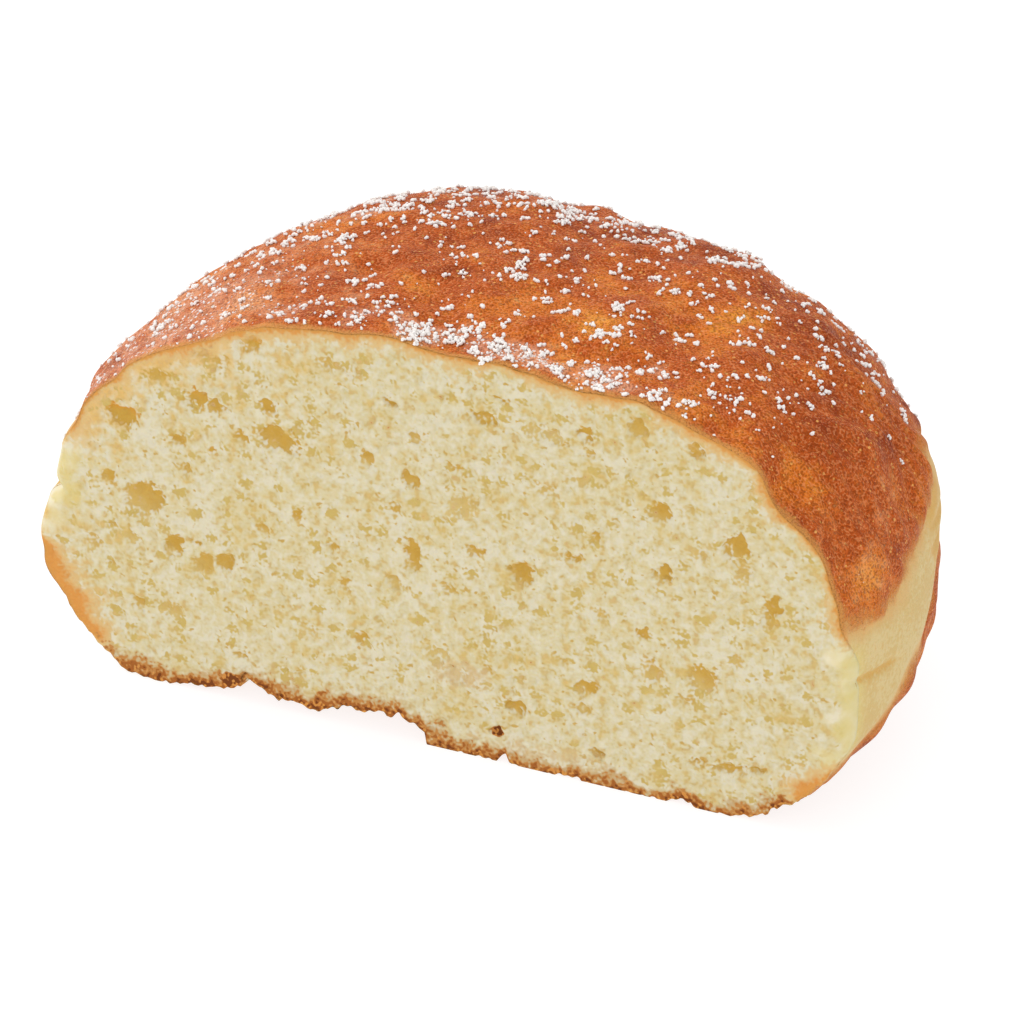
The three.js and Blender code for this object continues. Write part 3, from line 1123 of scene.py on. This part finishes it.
class BEIGNET_OT_crumb(bpy.types.Operator):
    """Builds the cut face of soft crumb, with its open cells"""

    bl_idname = "beignet.crumb"
    bl_label = "Crumb"

    def execute(self, context):
        looks = context.scene.beignet_crumb
        grid = square_grid(looks.across, looks.up)
        share, around = to_disc(*grid)
        corner = crust_surface(np.ones_like(around), around, torn=False, whole=True)
        start = crust_surface(np.ones_like(around), around, torn=False)
        lap = np.linalg.norm(start - corner, axis=-1) / ROUNDING
        start = crust_surface(1 - 0.004 * lap, around, torn=False)
        start = start + unit(start) * (0.02 * lap[..., None])
        points, to_rim, rounded = cut_face(share, corner, start)
        to_rim = to_rim * rim_slant(around)
        foot = rim_foot(points[..., 0])
        torn = torn_rim(points[..., 0], foot)
        points[..., 2] += torn * smooth(2.6, 0.0, points[..., 2] - foot)
        points[..., 2] -= 0.15 * smooth(0.4, 0.0, to_rim) * smooth(-6, -9, points[..., 2])
        x, z = points[..., 0], points[..., 2]
        places = np.stack([x, z], -1)
        depth, cell, gold = crumb_cells(places)
        reached = np.where(x > 0, 3.6, 4.4)
        smoothed = rounded * smooth(reached, 0.4, to_rim + 0.8 * waves(places, 1.6, 62))
        points[..., 1] += depth * smooth(0.0, 1.2, to_rim) * (1 - smoothed)
        points[..., 2] = np.maximum(z, -SOLE)
        flat_points = points.reshape(-1, 3)
        edge = border(looks.across, looks.up)
        inner = drawn_in(flat_points[edge], 0.95)
        thick = looks.thickness / MM
        rings = [inner + (0, 0.9, 0), inner + (0, thick, 0)]
        pole = np.array([FACE_MIDDLE[0], thick - CUT_AHEAD, FACE_MIDDLE[1]])
        faces = grid_triangles(looks.across, looks.up, False)
        full, faces, behind = close_behind(flat_points, faces, edge, rings, pole, False)
        piece = add_mesh("beignet_crumb", full, faces, crumb_material(looks), behind)
        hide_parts(NODE)
        add_map(piece, grid, behind)
        values = crumb_values(corner, points, places, to_rim, rounded, smoothed, cell, gold)
        add_values(piece, values)
        return {"FINISHED"}


def crumb_values(corner, points, places, to_rim, rounded, smoothed, cell, gold):
    """What the crumb's colours go by, as a number for each point. Each fades with the distance
    from the rim: toasted rind at the upper crust with a painted amber glow of light through its
    edge, crisp and tan crumb at the bottom one with its dark pockets, a painted warmth of light
    through thin crust, a painted lemon light beside the pale ring, and damp crumb low down.
    Beside these stand how far a place is inside a cell, how golden it is there, and how smooth."""
    x, z = points[..., 0], points[..., 2]
    low = smooth(-9.5, -12.5, corner[..., 2])
    left = smooth(-36, -41, corner[..., 0]) * smooth(1.0, -1.5, corner[..., 2]) * (1 - low)
    right = smooth(22, 33, corner[..., 0]) * smooth(-2, -6, corner[..., 2])
    lines = corner[..., [0, 2]]
    uneven = 1 + 0.2 * waves(lines, 1.6, 61) + 0.2 * waves(lines, 5, 64)
    solid = 0.7 * left + 0.25 * right
    fade = (0.9 + 0.5 * right + 0.5 * left) * uneven
    rind = np.exp(-np.maximum(0, to_rim - solid * uneven) / np.maximum(fade, 0.2))
    bottom = to_rim / np.maximum(uneven, 0.4)
    crisp = low * np.clip(2.0 - 0.85 * bottom, 0, 1.85)
    for pocket_x, pocket_z, width in POCKETS:
        apart = np.hypot(x - pocket_x, 1.3 * (z - pocket_z)) / width
        crisp = np.maximum(crisp, 2.4 * smooth(1.3, 0.6, apart))
    tan = low * np.exp(-np.maximum(0, bottom - 1.1) / 0.65)
    thin_crust = smooth(-14, -32, corner[..., 0]) * smooth(-5, 4, corner[..., 2])
    warmth = thin_crust * (0.6 * np.exp(-to_rim / 1.2) + 0.45 * np.exp(-to_rim / 5.0))
    warmth = warmth + 0.35 * left * np.exp(-to_rim / 3.0)
    pale = smooth(0.0, 4.5, ring_depth(corner))
    spot_x, spot_z, width, height = DAMP_SPOT
    ghost = smooth(1.5, 0.5, np.hypot((x - spot_x) / width, (z - spot_z) / height))
    damp = np.maximum(0.8 * smooth(10, 5, np.abs(x - 5)) * smooth(-9.5, -12.5, z), ghost)
    lobe = np.where(z > 4, 0.75 * smooth(0.2, 1.8, to_rim), 0.4 * smooth(1.0, 3.2, to_rim))
    beside = np.where(x > 0, 0.78, lobe)
    reaches = np.where(x > 0, 4.6, 8.0) + 0.9 * waves(places, 2.0, 63)
    return {
        "cell": np.clip(cell, -1, 1),
        "gold": gold + 0.6 * warmth,
        "rind": 1.22 * rind * (1 - rounded) * (1 - low) - 0.12,
        "crisp": crisp - 0.7,
        "tan": tan,
        "smoothed": smoothed,
        "lemon": pale * smooth(1, 0.15, to_rim / reaches) * beside,
        "moist": damp,
        "warmth": warmth * (1 - smoothed),
    }


def rim_foot(x):
    """Height of the untorn rim at the bottom of the cut, at each X."""
    outline = crust_surface(np.ones(RIM_AROUND.shape), RIM_AROUND, torn=False, whole=True)
    lower = outline[outline[:, 2] < -1]
    lower = lower[np.argsort(lower[:, 0])]
    return np.interp(x, lower[:, 0], lower[:, 2])


def rim_slant(around):
    """Cosine of the angle between the way out from the face's middle and the rim's normal, by
    angle around, so that distance along the one gives distance from the rim."""
    outline = crust_surface(np.ones(RIM_AROUND.shape), RIM_AROUND, torn=False)
    x = outline[:, 0] - FACE_MIDDLE[0]
    z = outline[:, 2] - FACE_MIDDLE[1]
    step = 6
    along_x = np.roll(x, -step) - np.roll(x, step)
    along_z = np.roll(z, -step) - np.roll(z, step)
    cosine = np.abs(x * along_z - z * along_x) / (np.hypot(x, z) * np.hypot(along_x, along_z) + 1e-9)
    return np.interp(around, RIM_AROUND, cosine)


def cut_face(share, corner, start):
    """Points of the plain cut face, their distance from its edge in mm, and how far that edge is
    rounded, from 0 to 1. From the start, where the crust ends, the face follows a parabola that
    has its corner where the crust would meet the cut, and from there it goes on straight to the
    face's middle."""
    middle = np.array([FACE_MIDDLE[0], -CUT_AHEAD, FACE_MIDDLE[1]])
    length = np.linalg.norm(middle - corner, axis=-1)
    inward = (middle - corner) / length[..., None]
    bend = np.linalg.norm(start - corner, axis=-1)
    curve = 1.6 * bend
    gone = (1 - share) * (length + curve - bend)
    t = np.where(curve > 1e-3, np.clip(gone / np.maximum(curve, 1e-3), 0, 1), 1)[..., None]
    end = corner + inward * bend[..., None]
    points = (1 - t) ** 2 * start + 2 * t * (1 - t) * corner + t**2 * end
    points = points + inward * np.maximum(0, gone - curve)[..., None]
    return points, gone, np.clip(bend / ROUNDING, 0, 1)


def crumb_cells(places):
    """Depth of the cut face in mm, how far inside a cell each place is in mm, negative outside,
    and how golden the nearest cell is, from 0 to 1, deeper toward the cell's upper right as
    painted shade under its lip and paler toward its foot. The places are first shaken by fine
    waves, so that no cell is round. A cell sinks by a share of its bubble, CELL_SHARE * depth *
    (1 - r^2)^0.7. Its edge is sharp at the top and soft at the foot, and softer all round for a
    cell that is less golden. The walls are rough by a tenth of a millimetre, and threads stand
    up along the lips of some cells."""
    shake = np.stack([waves(places, 0.7, 71), waves(places, 0.7, 72)], -1) * 0.17
    shake += np.stack([waves(places, 0.32, 73), waves(places, 0.32, 74)], -1) * 0.08
    x, z = np.moveaxis(places + shake, -1, 0)
    depth = np.zeros(x.shape)
    cell = np.full(x.shape, -9.0)
    gold = np.zeros(x.shape)
    for middle_x, middle_z, width, height, turn, sunk, golden in CELLS:
        cosine, sine = math.cos(math.radians(turn)), math.sin(math.radians(turn))
        across = ((x - middle_x) * cosine + (z - middle_z) * sine) / width
        up = ((z - middle_z) * cosine - (x - middle_x) * sine) / height
        away = np.hypot(across, up)
        depth = np.maximum(depth, CELL_SHARE * sunk * np.maximum(0, 1 - away**2) ** 0.7)
        upward = np.clip(0.9 * (z - middle_z) / height + 0.4 * (x - middle_x) / width, -1, 1)
        softness = 1 + 5 * (1 - golden) ** 2 + 3.0 * smooth(0.4, -1, upward)
        inside = (1 - away) * min(width, height) / softness
        # Painted shade: the lining is a deeper amber toward the cell's upper right, under its lip, and
        # paler toward its foot.
        gold = np.where(inside > cell, golden * (0.72 + 0.38 * upward), gold)
        cell = np.maximum(cell, inside)
    depth = depth + 0.05 * waves(places, 0.6, 79) + 0.06 * waves(places, 1.2, 80)
    for middle_x, middle_z, width in THREADS:
        lip = np.exp(-(((x - middle_x) / width) ** 2) - ((z - middle_z) / 0.35) ** 2)
        lip = lip * smooth(0.2, 1.2, waves(places, 0.35, 81))
        depth = depth - 0.3 * lip
        cell = cell - 1.5 * lip
    return np.maximum(depth, -0.12), cell, gold


def sugar_density(points):
    """Share of the crust that sugar covers, from 0 to 1: a thin scatter over the top, thinner
    down the shoulders, and drifts of more."""
    x, y, z = points[..., 0], points[..., 1], points[..., 2]
    up = smooth(9, 22, z)
    cover = 0.045 * up * smooth(38, 24, x)
    for middle_x, middle_y, width, length, added in DRIFTS:
        apart = ((x - middle_x) / width) ** 2 + ((y - middle_y) / length) ** 2
        cover = cover + added * np.exp(-apart) * smooth(6, 15, z)
    patchy = np.clip(1 + 0.6 * waves(points, 2.2, 91), 0.1, 3)
    bare = smooth(26, 31, x) * smooth(-4, -9, y)
    return cover * patchy * (1 - bare)


class BEIGNET_OT_sugar(bpy.types.Operator):
    """Strews clumps of icing sugar over the crust"""

    bl_idname = "beignet.sugar"
    bl_label = "Icing Sugar"

    def execute(self, context):
        looks = context.scene.beignet_sugar
        crust = context.scene.beignet_crust
        draw = np.random.default_rng(7)
        across, up = crust.across // 2, crust.up // 2
        share, around = to_disc(*square_grid(across, up))
        skin = crust_surface(share, around).reshape(-1, 3)
        faces = grid_triangles(across, up, True)
        corners = skin[faces]
        middles = corners.mean(1)
        facing = np.cross(corners[:, 1] - corners[:, 0], corners[:, 2] - corners[:, 0])
        areas = np.linalg.norm(facing, axis=1) / 2
        normals = unit(facing)
        lean_in = smooth(0.05, 0.5, normals[:, 2])
        weights = areas * sugar_density(middles) * lean_in * (middles[:, 1] > 0.4 - CUT_AHEAD)
        chosen = draw.choice(len(faces), looks.clumps, p=weights / weights.sum())
        corner_share = draw.dirichlet((1, 1, 1), looks.clumps)
        spots = (corners[chosen] * corner_share[..., None]).sum(1)
        normal = normals[chosen]
        side = unit(np.cross(normal, np.array([0.3, 1.0, 0.1])))
        other = np.cross(normal, side)
        counts = np.minimum(24, np.floor(draw.lognormal(0.55, 0.86, looks.clumps) + 0.6)).astype(int)
        owner = np.repeat(np.arange(looks.clumps), counts)
        total = len(owner)
        size = looks.grain / MM
        order = np.arange(total) - np.repeat(np.cumsum(counts) - counts, counts)
        turn = draw.uniform(0, 2 * np.pi, total)
        away = size * 0.85 * np.sqrt(order) * draw.uniform(0.8, 1.25, total)
        long_way = draw.uniform(0.6, 1.6, looks.clumps)[owner]
        spin = draw.uniform(0, np.pi, looks.clumps)[owner]
        flat_x, flat_y = away * np.cos(turn) * long_way, away * np.sin(turn) / long_way
        first = flat_x * np.cos(spin) - flat_y * np.sin(spin)
        second = flat_x * np.sin(spin) + flat_y * np.cos(spin)
        radius = size * draw.uniform(0.55, 1.25, total) * np.where(counts[owner] == 1, 0.75, 1.0)
        heap = draw.uniform(0, 1, total) * np.sqrt(counts[owner]) * size * 0.28
        lift = radius * 0.45 + heap * np.clip(1 - order / np.maximum(counts[owner], 1), 0, 1)
        middles = (
            spots[owner]
            + side[owner] * first[:, None]
            + other[owner] * second[:, None]
            + normal[owner] * lift[:, None]
        )
        ball, sides = icosahedron()
        angular = ball[None] * draw.uniform(0.75, 1.2, (total, 12, 1)) * (1.2, 1.0, 0.8)
        turned = angular @ random_turns(draw, total)
        grains = middles[:, None] + turned * radius[:, None, None]
        points = grains.reshape(-1, 3)
        triangles = (sides[None] + 12 * np.arange(total)[:, None, None]).reshape(-1, 3)
        add_mesh("icing_sugar", points, triangles, sugar_material(looks))
        return {"FINISHED"}


def icosahedron():
    """The twelve corners and twenty triangles of a ball of radius 1."""
    golden = (1 + math.sqrt(5)) / 2
    corners = []
    for a in (-1, 1):
        for b in (-golden, golden):
            corners += [(a, b, 0), (0, a, b), (b, 0, a)]
    corners = unit(np.array(corners, float))
    near = 2 / math.sqrt(1 + golden * golden) + 1e-6
    triangles = []
    for i in range(12):
        for j in range(i + 1, 12):
            for k in range(j + 1, 12):
                a, b, c = corners[[i, j, k]]
                sides = (np.linalg.norm(a - b), np.linalg.norm(b - c), np.linalg.norm(c - a))
                if max(sides) < near:
                    outward = np.dot(np.cross(b - a, c - a), a) > 0
                    triangles.append((i, j, k) if outward else (i, k, j))
    return corners, np.array(triangles)


def random_turns(draw, count):
    """Random turns as 3 x 3 matrices, from unit quaternions."""
    w, x, y, z = unit(draw.normal(size=(count, 4))).T
    rows = (
        (1 - 2 * (y * y + z * z), 2 * (x * y - z * w), 2 * (x * z + y * w)),
        (2 * (x * y + z * w), 1 - 2 * (x * x + z * z), 2 * (y * z - x * w)),
        (2 * (x * z - y * w), 2 * (y * z + x * w), 1 - 2 * (x * x + y * y)),
    )
    return np.moveaxis(np.array(rows), 2, 0)


# ---------------------------------------------------------------- stage


def add_light(name, place, target, width, power, colour):
    """A square area light that looks at the target."""
    light = bpy.data.lights.new(name, "AREA")
    light.shape = "SQUARE"
    light.size = width
    light.energy = power
    light.color = linear(colour)
    lamp = bpy.data.objects.new(name, light)
    lamp.location = place
    lamp.rotation_euler = (Vector(target) - Vector(place)).to_track_quat("-Z", "Y").to_euler()
    bpy.context.scene.collection.objects.link(lamp)


class BEIGNET_OT_stage(bpy.types.Operator):
    """Sets the floor, the soft light and the camera"""

    bl_idname = "beignet.stage"
    bl_label = "Stage"

    def execute(self, context):
        looks = context.scene.beignet_stage
        scene = context.scene
        side = 3.0
        corners = [(-side, -side, 0), (side, -side, 0), (side, side, 0), (-side, side, 0)]
        mesh = bpy.data.meshes.new("floor")
        mesh.from_pydata(corners, [], [(0, 1, 2, 3)])
        mesh.materials.append(floor_material(looks))
        floor = bpy.data.objects.new("floor", mesh)
        scene.collection.objects.link(floor)

        aim = Vector(placed(np.array([2.96, -CUT_AHEAD, 14.95])))
        across, up = looks.azimuth, looks.elevation
        back = Vector((math.sin(across) * math.cos(up), -math.cos(across) * math.cos(up), math.sin(up)))
        lens = bpy.data.cameras.new("camera")
        lens.lens = looks.lens
        lens.sensor_width = 36
        lens.clip_start = 0.01
        lens.clip_end = 20
        camera = bpy.data.objects.new("camera", lens)
        camera.location = aim + back * looks.distance
        camera.rotation_euler = (-back).to_track_quat("-Z", "Y").to_euler()
        scene.collection.objects.link(camera)
        scene.camera = camera

        target = (0, 0, 0.02)
        add_light("window", (-0.75, 0.25, 0.85), target, 0.8, 5.5, "#FFFCF8")
        add_light("front_fill", (0.2, -1.2, 0.7), target, 0.9, 4.0, "#FFFFFF")
        world = bpy.data.worlds.new("studio")
        world.use_nodes = True
        world.node_tree.nodes.clear()
        sky = node(world.node_tree, "Background", {"Color": "#FFFFFF", "Strength": 0.85})
        node(world.node_tree, "OutputWorld", {"Surface": sky})
        scene.world = world
        scene.view_settings.view_transform = "Standard"
        scene.view_settings.look = "None"
        return {"FINISHED"}


class BEIGNET_PT_panel(bpy.types.Panel):
    """Lists the pieces of the beignet"""

    bl_label = "Beignet"
    bl_idname = "BEIGNET_PT_panel"
    bl_space_type = "VIEW_3D"
    bl_region_type = "UI"
    bl_category = "Beignet"

    def draw(self, context):
        for piece in (BEIGNET_OT_crust, BEIGNET_OT_crumb, BEIGNET_OT_sugar, BEIGNET_OT_stage):
            self.layout.operator(piece.bl_idname)


SETTINGS = {
    "beignet_crust": BeignetCrustSettings,
    "beignet_crumb": BeignetCrumbSettings,
    "beignet_sugar": BeignetSugarSettings,
    "beignet_stage": BeignetStageSettings,
}
CLASSES = (
    *SETTINGS.values(),
    BEIGNET_OT_crust,
    BEIGNET_OT_crumb,
    BEIGNET_OT_sugar,
    BEIGNET_OT_stage,
    BEIGNET_PT_panel,
)


def register():
    for made in CLASSES:
        bpy.utils.register_class(made)
    for name, group in SETTINGS.items():
        setattr(bpy.types.Scene, name, bpy.props.PointerProperty(type=group))


def unregister():
    for name in SETTINGS:
        delattr(bpy.types.Scene, name)
    for made in reversed(CLASSES):
        bpy.utils.unregister_class(made)


def main():
    register()
    bpy.ops.beignet.crust()
    bpy.ops.beignet.crumb()
    bpy.ops.beignet.sugar()
    bpy.ops.beignet.stage()


if __name__ == "__main__":
    main()
